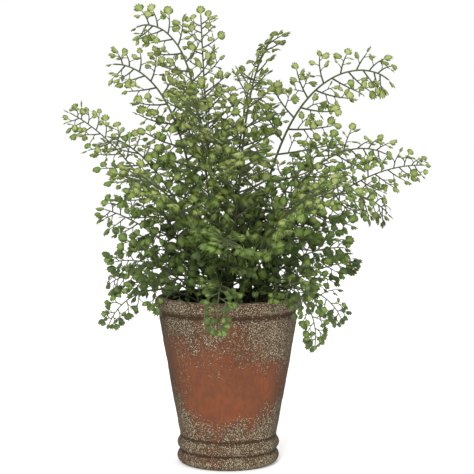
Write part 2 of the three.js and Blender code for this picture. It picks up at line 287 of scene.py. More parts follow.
def aged_clay(pot):
    """Unglazed clay. Pale mineral grains sit on dark moss in drifting patches, mostly under the rim,
    on the bands and in the lower part. The front and back of the wall's middle are worn bare, with
    brushed streaks and redder patches. The two sides, towards +X and -X, are the mossiest and are
    painted darker as shade, with dimmer grains; the wall under the rim is darkest towards -X, and the
    rim has denser grains towards +X, painted brighter there as a highlight. The grooves are smooth and
    darkened with grime and painted shade, and the damp inside is painted near-black as shade."""
    finish = Finish("aged_clay")
    x = finish.node("ShaderNodeSeparateXYZ", {}, {0: finish.place})
    height = x.other("Z")
    radius = (x * x + x.other("Y") * x.other("Y")) ** 0.5
    drift = finish.noise(17, 3.0, 0.55)
    wisps = finish.noise(60, 4.0, 0.65)
    round_side = x * x * radius**-2.0
    upper = (height + x * 0.34).ramp(0.50 * pot.height, 0.92 * pot.height)
    lower = (height - round_side * 0.16 * pot.height).ramp(0.42 * pot.height, 0.12 * pot.height)
    roll = pot.band_height
    groove = (
        near(height, pot.height - COVE_DROP, 5.5 * MM)
        + near(height, roll, 2.6 * MM)
        + near(height, 2 * roll + 1 * MM, 3.4 * MM)
    ).math("MINIMUM", 1.0)
    slope = (pot.neck_radius - pot.waist_radius) / (pot.height - pot.floor)
    inside = (height * slope + (pot.waist_radius - 0.6 * pot.wall) - radius).ramp(0.0, 1.0 * MM)

    # the rim towards +X, where the grains are denser and painted brighter as a highlight
    rim = near(height, pot.height - 6 * MM, 9 * MM) * (x * 7 + 0.45).ramp(0.0, 1.0)
    patches = 1.1 * drift + 1.3 * wisps - 1.20 + 0.16 * rim
    covered = 0.78 * (upper + lower) + round_side * 0.22 + patches - 0.10
    crust = covered.ramp(-0.1, 1.1) * (1 - groove.ramp(0.1, 0.9) * 0.85)
    cells, chance = finish.cells(COARSE_GRAINS)
    large = (crust * 0.50 - chance).ramp(0.0, 0.08)
    large = large * (0.46 - cells + 0.18 * chance.other(1)).ramp(0.0, 0.16)
    motes, luck = finish.cells(FINE_GRAINS)
    small = (crust * 0.44 + 0.012 - luck).ramp(0.0, 0.08) * (0.55 - motes).ramp(0.0, 0.2)
    # the grains are dimmed towards the two sides, as painted shade
    pale = (large + small * 0.7).math("MINIMUM", 1.0) * (1 - round_side.ramp(0.45, 1.1) * 0.40)
    pits = (crust * 0.65 - luck.other(1)).ramp(0.0, 0.1) * (0.5 - motes).ramp(0.0, 0.2)

    rusty = finish.noise(26, 3.0, 0.6).ramp(0.42, 0.62)
    dull = tuple(0.50 * part + 0.010 for part in pot.clay)
    strokes = finish.node("ShaderNodeMapping", {}, {"Vector": finish.place, "Scale": (1, 1, 0.55)})
    smears = finish.noise(210, 4.0, 0.7, strokes)
    worn = finish.mix(rusty * 0.75, shade(pot.clay), shade(pot.rust))
    brushed = finish.mix(smears.ramp(0.34, 0.70) * 0.50, worn, shade(dull))
    # towards the two sides the wall turns to dark grime, partly moss and partly painted shade
    flank_moss_and_shade_mask = round_side.ramp(0.25, 1.0) * (0.30 + 1.2 * drift) + wisps * 0.5 - 0.25
    flank_moss_and_shade = finish.mix(flank_moss_and_shade_mask.ramp(0.0, 0.9) * 0.74, brushed, shade(pot.grime))
    damp_side = (x * -1.0).ramp(0.012, 0.062) * upper.ramp(0.0, 0.5) * 0.6 * (1 - rim)
    # the grooves are darkened with grime and with painted shade
    stain_and_groove_shade = damp_side + crust.ramp(0.0, 0.8) * 0.86 + groove.ramp(0.1, 0.9) * 0.85 + pits * 0.6
    stain_and_groove_shade = stain_and_groove_shade.math("MINIMUM", 0.97)
    # a darker copy of the grime: painted shade in the grooves and at the two sides
    dark = shade(pot.grime, 0.62)
    grime_and_groove_shade = finish.mix(groove.ramp(0.2, 1.0), shade(pot.grime), dark)
    mossy_and_shaded = finish.mix(stain_and_groove_shade, flank_moss_and_shade, grime_and_groove_shade)
    # grains are dimmer at random, and brighter on the rim towards +X as a painted highlight
    grain_dimming = chance.other(2) * (1 - 0.7 * rim)
    grain_colour = finish.mix(grain_dimming, shade(pot.bloom), shade(pot.bloom, 0.50))
    crusted = finish.mix(pale * 0.92, mossy_and_shaded, grain_colour)
    # painted shade at the two sides, broken up in patches
    shadowed = round_side.ramp(0.62, 1.05) * (1.6 * drift - 0.38).math("MAXIMUM", 0.0)
    side_shaded = finish.mix(shadowed, crusted, dark)
    # the inside of the pot is painted near-black: damp, and painted shade
    colour = finish.mix(inside * 0.92, side_shaded, (0.007, 0.007, 0.005, 1))
    relief = finish.bump(pale * 0.9 + smears * 0.25 + wisps * 0.3, 0.45 * MM, 0.7)
    return finish.surface(
        Base_Color=colour, Roughness=0.86 + 0.1 * pale, Normal=relief, Specular_IOR_Level=0.08
    )


def damp_soil():
    """Dark potting mix: near-black humus, brown fibres and a few paler crumbs."""
    finish = Finish("damp_soil")
    crumbs = finish.cells(420)[1]
    clods = finish.noise(160, 4.0, 0.7)
    brown = finish.mix(clods.ramp(0.4, 0.7), (0.012, 0.009, 0.006, 1), (0.050, 0.030, 0.017, 1))
    colour = finish.mix(crumbs.ramp(0.9, 0.99) * 0.5, brown, (0.16, 0.12, 0.08, 1))
    relief = finish.bump(crumbs * 0.5 + clods, 1.2 * MM, 0.9)
    return finish.surface(Base_Color=colour, Roughness=0.8 + 0.18 * clods, Normal=relief)


def scaly_root():
    """A brown root stock, streaked and rough with old scales."""
    finish = Finish("scaly_root")
    scales = finish.cells(330)[1]
    streaks = finish.noise(240, 5.0, 0.7)
    colour = finish.mix(streaks.ramp(0.35, 0.7), (0.018, 0.010, 0.006, 1), (0.085, 0.045, 0.022, 1))
    relief = finish.bump(scales + streaks, 1.0 * MM, 0.9)
    return finish.surface(Base_Color=colour, Roughness=0.72 + 0.2 * scales, Normal=relief)


def wiry_stalk(frond):
    """Smooth stalks that go from dark brown-green near the root to a paler green at their ends."""
    finish = Finish("wiry_stalk")
    age = finish.measure("reach")
    streaks = finish.noise(420, 3.0, 0.6)
    shift = (age + 0.35 * (streaks - 0.5)).ramp(0.12, 0.95)
    colour = finish.mix(shift, shade(frond.wiry), shade(frond.green))
    relief = finish.bump(streaks, 0.12 * MM, 0.5)
    return finish.surface(
        Base_Color=colour, Roughness=0.55 + 0.2 * streaks, Normal=relief, Specular_IOR_Level=0.15
    )


def soft_leaf(frond):
    """Thin leaflets: ribs that fan out from the stalk, a painted highlight in the middle, painted shade
    at the edge, and a tone of each leaflet's own. Those at the outside of the plant are paler, as new
    growth and as painted light, and those inside it a deep green, as painted shade."""
    finish = Finish("soft_leaf")
    tone = finish.measure("tone")
    outer_light_and_shade = finish.measure("outer_light_and_shade")
    fan = finish.node("ShaderNodeUVMap", {"uv_map": "fan"})
    across = finish.node("ShaderNodeSeparateXYZ", {}, {0: fan})
    along = across.other("Y")
    ribs = (across * 36.0).math("SINE") * 0.5 + 0.5
    blotch = finish.noise(260, 3.0, 0.6)
    centre = 1 - (across - 0.5).math("ABSOLUTE") * 2.0
    # painted light: paler towards the outside of the plant, a painted highlight in each leaflet's
    # middle, and each leaflet's own tone
    light = tone * 0.66 + outer_light_and_shade * 0.62 + (blotch - 0.5) * 0.4 + centre.ramp(0.0, 0.9) * 0.50 - 0.43
    # a darker, bluer copy of the leaf colour: painted shade on leaflets inside the plant and low down
    deep = tuple(part * share for part, share in zip(frond.leaf, (0.27, 0.31, 0.42)))
    body = finish.mix(light.ramp(-0.20, 0.50), shade(deep), shade(frond.leaf))
    fresh_and_lit = finish.mix(light.ramp(0.42, 1.1), body, shade(frond.young))
    # a dark copy of the leaf colour: painted shade at each leaflet's edge, and the colour of its ribs
    vein_and_edge_shade = shade(frond.leaf, 0.30)
    edge = (along.ramp(0.62, 1.0) + centre.ramp(0.5, 0.0)).math("MINIMUM", 1.0)
    edge_shaded = finish.mix(edge * 0.88, fresh_and_lit, vein_and_edge_shade)
    colour = finish.mix(ribs * 0.26, edge_shaded, vein_and_edge_shade)
    relief = finish.bump(ribs * 0.8 + blotch * 0.4, 0.30 * MM, 0.8)
    return finish.surface(
        Base_Color=colour,
        Roughness=0.44 + 0.16 * blotch,
        Normal=relief,
        Specular_IOR_Level=0.22,
        Subsurface_Weight=0.06,
        Subsurface_Radius=(0.002, 0.003, 0.001),
        Subsurface_Scale=0.6,
    )


def studio_floor():
    """Matt near-white paper, with a very faint cloudiness."""
    finish = Finish("studio_floor")
    grain = finish.noise(6, 2.0, 0.5)
    colour = finish.mix(grain, (0.93, 0.93, 0.925, 1), (0.95, 0.95, 0.945, 1))
    return finish.surface(
        Base_Color=colour,
        Roughness=0.95,
        Specular_IOR_Level=0.1,
        Emission_Color=(1, 1, 1, 1),
        Emission_Strength=0.09,
    )


def kept(make, *groups):
    """The material that make() made, made only once."""
    return bpy.data.materials.get(make.__name__) or make(*groups)


# ---- surfaces


def unit(vectors):
    """Vectors of length 1 with the same ways."""
    return vectors / np.maximum(np.linalg.norm(vectors, axis=-1, keepdims=True), 1e-12)


def dot(a, b):
    """The sum of products of parts, with the last axis kept."""
    return np.sum(a * b, axis=-1, keepdims=True)


def ripple(points, wavelength, seed, waves=28):
    """A smooth random height at each point: the mean of cosine waves of one wavelength, each in a
    random direction and with a random phase, scaled to about -1 to 1."""
    rng = np.random.default_rng(seed)
    ways = unit(rng.normal(size=(waves, 3))) * (2 * math.pi / wavelength)
    phases = rng.uniform(0, 2 * math.pi, waves)
    return np.cos(points @ ways.T + phases).sum(axis=-1) / math.sqrt(waves)


def revolve(profile, around):
    """Points (row, column, xyz) of a profile of (radius, height) turned about +Z."""
    angle = np.linspace(0, 2 * math.pi, around, endpoint=False)
    radius, height = profile[:, :1], profile[:, 1:]
    return np.stack(
        [radius * np.cos(angle), radius * np.sin(angle), height + 0 * angle], axis=-1
    )


def closed_shell(grid):
    """Points and faces of a grid that closes round its columns, with a pole in place of its first
    row and its last. The rows run up the outside."""
    rows, around = grid.shape[:2]
    body = grid[1:-1].reshape(-1, 3)
    points = np.vstack([body, grid[0].mean(axis=0), grid[-1].mean(axis=0)])
    i, j = np.arange(rows - 3)[:, None] * around, np.arange(around)
    k = (j + 1) % around
    quads = np.stack([i + j, i + k, i + around + k, i + around + j], axis=-1).reshape(-1, 4)
    first, last = len(body), len(body) + 1
    top = (rows - 3) * around
    caps = [(first, b, a) for a, b in zip(j, k)] + [(last, top + a, top + b) for a, b in zip(j, k)]
    return points, quads.tolist() + [tuple(map(int, cap)) for cap in caps]


def tubes(paths, radii, sides, upright):
    """Closed tubes along paths (tube, step, xyz) with radii (tube, step). Each ring is a regular
    polygon square to its path. upright is a vector (tube, 1, xyz) that no path runs along."""
    count, steps = paths.shape[:2]
    along = unit(np.gradient(paths, axis=1))
    a = unit(np.cross(along, upright))
    b = np.cross(along, a)
    angle = np.linspace(0, 2 * math.pi, sides, endpoint=False)[:, None]
    rings = paths[:, :, None] + radii[:, :, None, None] * (
        np.cos(angle) * a[:, :, None] + np.sin(angle) * b[:, :, None]
    )
    j, i = np.arange(steps - 1)[:, None] * sides, np.arange(sides)
    k = (i + 1) % sides
    quads = np.stack([j + i, j + k, j + sides + k, j + sides + i], axis=-1).reshape(-1, 4)
    start = np.arange(count)[:, None, None] * (steps * sides)
    ends = np.stack([i[::-1], i + (steps - 1) * sides])
    faces = (quads + start).reshape(-1, 4).tolist() + (ends + start).reshape(-1, sides).tolist()
    return rings.reshape(-1, 3), faces


def joined(parts):
    """Several (points, faces) as one."""
    points, faces, count = [], [], 0
    for part_points, part_faces in parts:
        points.append(part_points)
        faces += [[v + count for v in face] for face in part_faces]
        count += len(part_points)
    return np.vstack(points), faces


def new_mesh(name, points, faces, sharp=None):
    """A smooth mesh, with edges that turn by more than the angle sharp kept sharp."""
    mesh = bpy.data.meshes.new(name)
    mesh.from_pydata(points.tolist(), [], faces)
    mesh.shade_smooth()
    if sharp is not None:
        mesh.set_sharp_from_angle(angle=sharp)
    mesh.update()
    return mesh


def new_piece(name, mesh, material, slot, *nodes):
    """Puts a finished mesh in the scene as a piece that stands for CAD nodes."""
    piece = bpy.data.objects.new(name, mesh)
    bpy.context.scene.collection.objects.link(piece)
    mesh.materials.append(material)
    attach(piece, "root")
    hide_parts(*nodes)
    return piece


def store(mesh, name, values):
    """Keeps one number for each point of the mesh."""
    layer = mesh.attributes.new(name, "FLOAT", "POINT")
    layer.data.foreach_set("value", np.asarray(values, dtype=np.float32))


# ---- the pot and its soil


def arc(centre, radius, start, end, steps):
    """Points (radius, height) along an arc, from an angle to another in degrees."""
    angle = np.radians(np.linspace(start, end, steps))
    return np.stack([centre[0] + radius * np.cos(angle), centre[1] + radius * np.sin(angle)], axis=-1)


def run(start, end, steps):
    """Points (radius, height) along a straight line, without its ends."""
    return np.linspace(start, end, steps + 2)[1:-1]


def pot_profile(pot):
    """From the middle of the base, out and up over the two bands, the wall, the cove and the rolled
    rim, then down the inside to the middle of the floor."""
    roll = pot.band_height / 2
    band = pot.band_radius - roll
    rim = (pot.rim_radius - pot.rim_roll, pot.height - pot.rim_roll)
    waist = (pot.waist_radius, 4 * roll + 1.5 * MM)
    neck = (pot.neck_radius, pot.height - 2 * pot.rim_roll - 9 * MM)
    wall = run(waist, neck, WALL_ROWS)
    wall[:, 0] += 0.5 * MM * np.sin(np.linspace(0, math.pi, WALL_ROWS))
    inner_neck = (pot.neck_radius - pot.wall, rim[1])
    inner_foot = (pot.waist_radius - pot.wall, pot.floor + 4 * MM)
    return np.vstack(
        [
            [(0, 0)],
            run((0, 0), (band, 0), 8),
            arc((band, roll), roll, -90, 42, 14),
            arc((band + 6.05 * MM, 2 * roll), 2.3 * MM, 250, 110, 9),
            arc((band, 3 * roll), roll, -42, 50, 12),
            arc((waist[0] + 2.3 * MM, waist[1] - 1 * MM), 2.3 * MM, 228, 174, 6),
            wall,
            arc((neck[0] + 5 * MM, neck[1] + 4.6 * MM), 6.7 * MM, 220, 142, 9),
            arc(rim, pot.rim_roll, -76, 176, 26),
            run(inner_neck, inner_foot, 18),
            arc((inner_foot[0] - 4 * MM, inner_foot[1]), 4 * MM, 0, -90, 5),
            run((inner_foot[0] - 4 * MM, pot.floor), (0, pot.floor), 8),
            [(0, pot.floor)],
        ]
    )


def drain_hole(index):
    """A round cutter through the floor: a closed cylinder, an even turn from the next."""
    turn = 2 * math.pi * (index + 0.25) / DRAIN_HOLES
    low, high = -1 * MM, 20 * MM
    profile = np.array([(0, low), (DRAIN_RADIUS, low), (DRAIN_RADIUS, high), (0, high)])
    middle = DRAIN_RING * np.array([math.cos(turn), math.sin(turn), 0])
    return closed_shell(revolve(profile, DRAIN_SIDES) + middle)


class FERN_OT_clay_pot(bpy.types.Operator):
    """Add the clay pot, with its rolled rim, foot bands and drain holes"""

    bl_idname = "fern.clay_pot"
    bl_label = "Clay Pot"

    def execute(self, context):
        pot = context.scene.fern_pot
        grid = revolve(pot_profile(pot), POT_SIDES)
        # the middle of the floor, as far as the drain holes reach, stays as it is
        uneven = np.hypot(grid[..., :1], grid[..., 1:2]) > DRAIN_RING + DRAIN_RADIUS
        outward = unit(grid * (1, 1, 0)) * uneven
        throwing = 0.22 * ripple(grid * (1, 1, 2.5), 70 * MM, 3) + 0.10 * ripple(grid, 12 * MM, 4)
        grain = 0.05 * ripple(grid, 5 * MM, 5, 40)
        grid = grid + outward * ((throwing + grain) * MM)[..., None]
        mesh = new_mesh("clay_pot", *closed_shell(grid))
        piece = new_piece("clay_pot", mesh, kept(aged_clay, pot), "terracotta", "pot")
        cutters = []
        for index in range(DRAIN_HOLES):
            cutter_mesh = new_mesh("drain_cutter", *drain_hole(index))
            cutter = bpy.data.objects.new("drain_cutter", cutter_mesh)
            context.scene.collection.objects.link(cutter)
            cut = piece.modifiers.new("drain", "BOOLEAN")
            cut.object, cut.operation, cut.solver = cutter, "DIFFERENCE", "EXACT"
            cutters.append(cutter)
        weld = piece.modifiers.new("weld", "WELD")
        weld.merge_threshold = 0.01 * MM
        whole = piece.evaluated_get(context.evaluated_depsgraph_get())
        mesh = bpy.data.meshes.new_from_object(whole)
        piece.modifiers.clear()
        piece.data = mesh
        mesh.name = piece.name
        mesh.set_sharp_from_angle(angle=math.radians(50))
        for cutter in cutters:
            bpy.data.meshes.remove(cutter.data)
        return {"FINISHED"}


def lumps(centres, sizes, rng):
    """Crumbs: a 20-sided lump at each centre, with each corner pushed in or out at random."""
    golden = (1 + math.sqrt(5)) / 2
    corners = np.array(
        [(a, b * golden, 0) for a in (-1, 1) for b in (-1, 1)]
        + [(0, a, b * golden) for a in (-1, 1) for b in (-1, 1)]
        + [(b * golden, 0, a) for a in (-1, 1) for b in (-1, 1)],
        dtype=float,
    )
    apart = np.linalg.norm(corners[:, None] - corners[None], axis=-1)
    linked = np.abs(apart - 2) < 0.01
    faces = []
    for a, b, c in combinations(range(len(corners)), 3):
        if linked[a, b] and linked[b, c] and linked[a, c]:
            outwards = np.linalg.det(corners[[a, b, c]]) > 0
            faces.append((a, b, c) if outwards else (a, c, b))
    squash = rng.uniform(0.6, 1.25, (len(centres), 1, 3))
    push = rng.uniform(0.75, 1.2, (len(centres), 12, 1))
    points = centres[:, None] + unit(corners) * squash * push * sizes[:, None, None]
    order = np.array(faces)[None] + np.arange(len(centres))[:, None, None] * 12
    return points.reshape(-1, 3), order.reshape(-1, 3).tolist()


def soil_height(x, y):
    """Height of the soil's surface: higher in the middle, and uneven."""
    radius = np.hypot(x, y)
    flat = np.stack([x, y, 0 * x], axis=-1)
    uneven = 0.9 * ripple(flat, 24 * MM, 21) + 0.5 * ripple(flat, 9 * MM, 22)
    edge = SOIL_HIGH[0]
    uneven = uneven * (radius < 0.97 * edge)
    return SOIL_HIGH[2] - 2.4 * MM * (radius / edge) ** 2 + uneven * MM - 0.8 * MM


class FERN_OT_soil(bpy.types.Operator):
    """Add the potting soil and its crumbs"""

    bl_idname = "fern.soil"
    bl_label = "Soil"

    def execute(self, context):
        pot = context.scene.fern_pot
        rng = np.random.default_rng(31)
        edge, foot = SOIL_HIGH[0] - 0.3 * MM, pot.waist_radius - pot.wall - 1.6 * MM
        low, shoulder, corner = SOIL_LOW[2], SOIL_HIGH[2] - 4 * MM, 6 * MM
        # a height of 1 marks the rows of the top, whose own height is soil_height()
        profile = np.vstack(
            [
                [(0, low)],
                run((0, low), (foot - corner, low), 3),
                arc((foot - corner, low + corner), corner, -80, 0, 4),
                run((foot, low + corner), (edge, shoulder), 6),
                [(edge, shoulder)],
                run((edge, 1), (0, 1), 46),
                [(0, 1)],
            ]
        )
        grid = revolve(profile, SOIL_SIDES)
        top = grid[..., 2] > shoulder
        grid[..., 2] = np.where(top, soil_height(grid[..., 0], grid[..., 1]), grid[..., 2])
        turn = rng.uniform(0, 2 * math.pi, CRUMBS)
        radius = (edge - 3 * MM) * np.sqrt(rng.uniform(0.04, 1, CRUMBS))
        x, y = radius * np.cos(turn), radius * np.sin(turn)
        sizes = rng.uniform(0.5, 1.0, CRUMBS) ** 2 * 2.4 * MM
        centres = np.stack([x, y, soil_height(x, y) + 0.2 * sizes], axis=-1)
        points, faces = joined([closed_shell(grid), lumps(centres, sizes, rng)])
        mesh = new_mesh("potting_soil", points, faces)
        new_piece("potting_soil", mesh, kept(damp_soil), "soil", "soil")
        return {"FINISHED"}


class FERN_OT_rhizome(bpy.types.Operator):
    """Add the rhizome and the stubs of its old stalks"""

    bl_idname = "fern.rhizome"
    bl_label = "Rhizome"

    def execute(self, context):
        rng = np.random.default_rng(41)
        radius = ROOT_HIGH[0]
        level = ROOT_HIGH[2] - 11 * MM
        angle = np.radians(np.linspace(-90, 90, 44))
        half = np.where(angle < 0, level - ROOT_LOW[2], ROOT_HIGH[2] - level)
        profile = np.stack([radius * np.cos(angle), level + half * np.sin(angle)], axis=-1)
        grid = revolve(profile, ROOT_SIDES)
        knobs = 0.7 * ripple(grid, 14 * MM, 42) + 0.45 * ripple(grid, 5 * MM, 43) - 1.0
        grid = grid + unit(grid - (0, 0, level)) * (knobs * MM)[..., None]
        turn = rng.uniform(0, 2 * math.pi, OLD_STUBS)
        out = np.sqrt(rng.uniform(0.05, 0.8, OLD_STUBS))
        foot = np.stack([radius * out * np.cos(turn), radius * out * np.sin(turn)], axis=-1)
        rise = (ROOT_HIGH[2] - level) * np.sqrt(1 - out**2) - 1.5 * MM
        base = np.column_stack([foot, level + rise])
        way = np.column_stack([foot * 0.9, np.full(OLD_STUBS, 0.016)])
        way = unit(way + rng.normal(0, 0.003, (OLD_STUBS, 3)))
        length = rng.uniform(5, 11, OLD_STUBS) * MM
        steps = np.linspace(0, 1, 5)
        paths = base[:, None] + way[:, None] * (steps * length[:, None])[..., None]
        radii = rng.uniform(0.9, 1.5, (OLD_STUBS, 1)) * MM * np.array([1.25, 1.1, 1, 1, 0.7])
        stubs = tubes(paths, radii, STUB_SIDES, np.array([[[1.0, 0.2, 0.0]]]))
        points, faces = joined([closed_shell(grid), stubs])
        mesh = new_mesh("root_stock", points, faces, math.radians(60))
        new_piece("root_stock", mesh, kept(scaly_root), "rhizome", "rhizome")
        return {"FINISHED"}


# ---- the fronds


PINNA_STEPS = np.linspace(0, 1, 9)
# the columns of a leaflet, as degrees from its middle: two down each side, then five teeth
LEAF_DEGREES = np.array([-63, -51, -41, -31, -20.5, -10, 0, 10, 20.5, 31, 41, 51, 63])
LEAF_COLUMNS = len(LEAF_DEGREES)
LEAF_NOTCHES = np.array([0, 0, 0, 1, 0, 1, 0, 1, 0, 1, 0, 0, 0])
LEAF_MIDDLE = 0.62  # where the middle row of corners is, as a share of the outline's radius


def node_corners(name):
    """The corners of a CAD node's mesh."""
    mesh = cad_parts[name].data
    corners = np.empty(len(mesh.vertices) * 3)
    mesh.vertices.foreach_get("co", corners)
    return corners.reshape(-1, 3)


def ring_centres(node):
    """The middle of each ring of a frond's CAD stalk, from its foot to its tip. A ring's corners lie
    within 4 mm of each other, and the next ring is further off."""
    left = np.unique(np.round(node_corners(node), 6), axis=0)
    here = np.array([0, 0, ROOT_HIGH[2] - 20 * MM])
    centres = []
    while len(left):
        distance = np.linalg.norm(left - here, axis=1)
        ring = np.linalg.norm(left - left[distance.argmin()], axis=1) < 4 * MM
        here = left[ring].mean(axis=0)
        centres.append(here)
        left = left[~ring]
    return np.array(centres)


def sample(table, at):
    """Rows of a table at shares of its length, with those in between blended."""
    place = np.clip(at, 0, 1) * (len(table) - 1)
    low = np.minimum(place.astype(int), len(table) - 2)
    share = (place - low)[..., None]
    return table[low] * (1 - share) + table[low + 1] * share


def smooth_curve(knots, steps):
    """A cubic curve through the knots, with even steps: each stretch is a Hermite cubic whose end
    slopes are the knots' central differences. Also gives each knot's share of the way."""
    reach = np.concatenate([[0], np.cumsum(np.linalg.norm(np.diff(knots, axis=0), axis=1))])
    slopes = np.gradient(knots, reach, axis=0)
    at = np.linspace(0, reach[-1], steps)
    k = np.clip(np.searchsorted(reach, at, side="right") - 1, 0, len(knots) - 2)
    span = (reach[k + 1] - reach[k])[:, None]
    t = ((at - reach[k])[:, None]) / span
    return (
        (2 * t**3 - 3 * t**2 + 1) * knots[k]
        + (t**3 - 2 * t**2 + t) * span * slopes[k]
        + (3 * t**2 - 2 * t**3) * knots[k + 1]
        + (t**3 - t**2) * span * slopes[k + 1]
    ), reach / reach[-1]


class Rachis:
    """A frond's stalk as a smooth curve, with the side and the face of its blade along it, and the
    roots and the length of its pinnae, all read from the frond's CAD nodes."""

    BARE_RINGS = 3  # rings of the stalk below its CAD blade
    LOBE_ANGLE = math.radians(62)  # between the stalk and the CAD blade's lobes

    def __init__(self, number, gap):
        rings = ring_centres(f"frond_{number}_stalk")
        self.curve, shares = smooth_curve(rings, CURVE_ROWS)
        self.length = np.linalg.norm(np.diff(self.curve, axis=0), axis=1).sum()
        self.along = unit(np.gradient(self.curve, axis=0))
        out = (rings[-1] - rings[0]) * (1, 1, 0)
        level = unit(np.cross(np.array([0.0, 0.0, 1.0]), out))
        face = np.cross(self.along, level)
        corners = node_corners(f"frond_{number}_blade")
        closest = np.linalg.norm(corners[:, None] - self.curve[None], axis=-1).argmin(axis=1)
        reach = corners - self.curve[closest]
        # the roll is the way in which the blade's corners are spread most
        sideways, upwards = reach @ level, np.sum(reach * face[closest], axis=1)
        roll = 0.5 * math.atan2((2 * sideways * upwards).sum(), (sideways**2 - upwards**2).sum())
        self.side = level * math.cos(roll) + face * math.sin(roll)
        self.face = np.cross(self.along, self.side)
        width = np.abs(np.sum(reach * self.side[closest], axis=1)).max()
        self.spread = width / math.sin(self.LOBE_ANGLE)
        self.start = 0.5 * shares[self.BARE_RINGS]
        self.hanging = rings[-1][2] < rings[0][2] + 8 * MM
        apart = gap * min(1.0, max(0.55, self.spread / (62 * MM))) * (1.25 if self.hanging else 1)
        count = max(6, int(round(2 * self.length * (1 - self.start) / apart)))
        climb = (np.arange(count) + 0.5) / count
        self.roots = self.start + (0.97 - self.start) * (1 - (1 - climb) ** 1.6)
        self.hands = np.where(np.arange(count) % 2, 1.0, -1.0)

    def pinna_lengths(self):
        """Short for the lowest, longest a little above them, and shorter towards the tip."""
        up = (self.roots - self.start) / (1 - self.start)
        return self.spread * np.minimum(1, 0.5 + 2.4 * up) * (1 - 0.80 * up**2)


def twigs(root, along, side, face, lengths, angles, rng):
    """Paths of side branches (branch, step, xyz). A branch leaves its parent at one angle, bends
    forward to another along its length, bows a little out of the blade and sags by the square of the
    way."""
    count = len(root)
    wide, close = (np.radians(rng.uniform(*pair, count))[:, None] for pair in angles)
    angle = (wide + (close - wide) * PINNA_STEPS)[..., None]
    bow = rng.uniform(-0.25, 0.2, count)[:, None, None] * PINNA_STEPS[:, None]
    swing = rng.normal(0, 0.22, (count, 1))
    out = unit(side * np.cos(swing) + face * np.sin(swing))
    way = unit(
        along[:, None] * np.cos(angle) + out[:, None] * np.sin(angle) + face[:, None] * bow
    )
    steps = np.zeros_like(way)
    steps[:, 1:] = (way[:, 1:] + way[:, :-1]) / 2
    paths = root[:, None] + np.cumsum(steps, axis=1) * (lengths / (len(PINNA_STEPS) - 1))[:, None, None]
    sag = rng.uniform(0.02, 0.12, count) * lengths
    paths[..., 2] -= sag[:, None] * PINNA_STEPS**2
    return paths


def on_paths(paths, faces, branch, share):
    """The point, the way and the face at a share of the length of some of the paths."""
    way = unit(np.gradient(paths, axis=1))
    place = share * (paths.shape[1] - 1)
    low = np.minimum(place.astype(int), paths.shape[1] - 2)
    part = (place - low)[:, None]
    point = paths[branch, low] * (1 - part) + paths[branch, low + 1] * part
    along = unit(way[branch, low] * (1 - part) + way[branch, low + 1] * part)
    face = faces[branch]
    return point, along, unit(face - along * dot(face, along))


def leaflet_sites(lengths, pitch, first, rng):
    """Where leaflets sit on branches: alternate along each, from its share first on, and one at its
    end. Returns each one's branch, share of the branch and hand, which is 0 at the end."""
    branch, share, hand = [], [], []
    for index, (length, start) in enumerate(zip(lengths, first)):
        pairs = max(1, int(round(length * (0.94 - start) / pitch)))
        along = start + (0.94 - start) * (np.arange(2 * pairs) + 0.5) / (2 * pairs)
        branch += [index] * (2 * pairs + 1)
        share += [*(along + rng.uniform(-0.02, 0.02, 2 * pairs)), 1.0]
        hand += [*np.where((np.arange(2 * pairs) + index) % 2, 1.0, -1.0), 0.0]
    return np.array(branch), np.array(share), np.array(hand)


def leaf_template():
    """One leaflet as numbers that every leaflet shares: for each corner its column, its share of the
    outline's radius and its layer (1 upper, -1 lower, 0 the rim that both share), and the faces, with
    the fan's own coordinates at each face's corners."""
    columns = np.arange(LEAF_COLUMNS)
    inner = columns[1:-1]
    column = np.concatenate([[LEAF_COLUMNS // 2], columns, columns[[0, -1]], inner, inner])
    share = np.concatenate([[0], np.ones(LEAF_COLUMNS), np.full(2 * len(inner) + 2, LEAF_MIDDLE)])
    layer = np.concatenate([np.zeros(LEAF_COLUMNS + 3), np.ones(len(inner)), -np.ones(len(inner))])
    rim = 1 + columns
    ends = rim[-1] + np.array([1, 2])
    upper = np.concatenate([ends[:1], ends[1] + inner, ends[1:]])
    lower = np.concatenate([ends[:1], ends[1] + len(inner) + inner, ends[1:]])
    faces, fans = [], []
    at = (LEAF_DEGREES / LEAF_DEGREES[-1] + 1) / 2
    for middle, turned_over in ((upper, False), (lower, True)):
        for i in range(LEAF_COLUMNS - 1):
            one, next_one = (middle[i], at[i], LEAF_MIDDLE), (middle[i + 1], at[i + 1], LEAF_MIDDLE)
            foot = [(0, (at[i] + at[i + 1]) / 2, 0), next_one, one]
            edge = [one, next_one, (rim[i + 1], at[i + 1], 1), (rim[i], at[i], 1)]
            for face in (foot, edge):
                face = face[::-1] if turned_over else face
                faces.append([int(corner[0]) for corner in face])
                fans += [corner[1:] for corner in face]
    return column, share, layer, faces, np.array(fans)


LEAF_COLUMN, LEAF_SHARE, LEAF_LAYER, LEAF_FACES, LEAF_FANS = leaf_template()


def bent(distance, curl):
    """Where a point at a distance along a flat strip goes when the strip is bent to a curl: along by
    sin(curl x distance) / curl, and down by (1 - cos(curl x distance)) / curl."""
    return np.sin(curl * distance) / curl, (1 - np.cos(curl * distance)) / curl


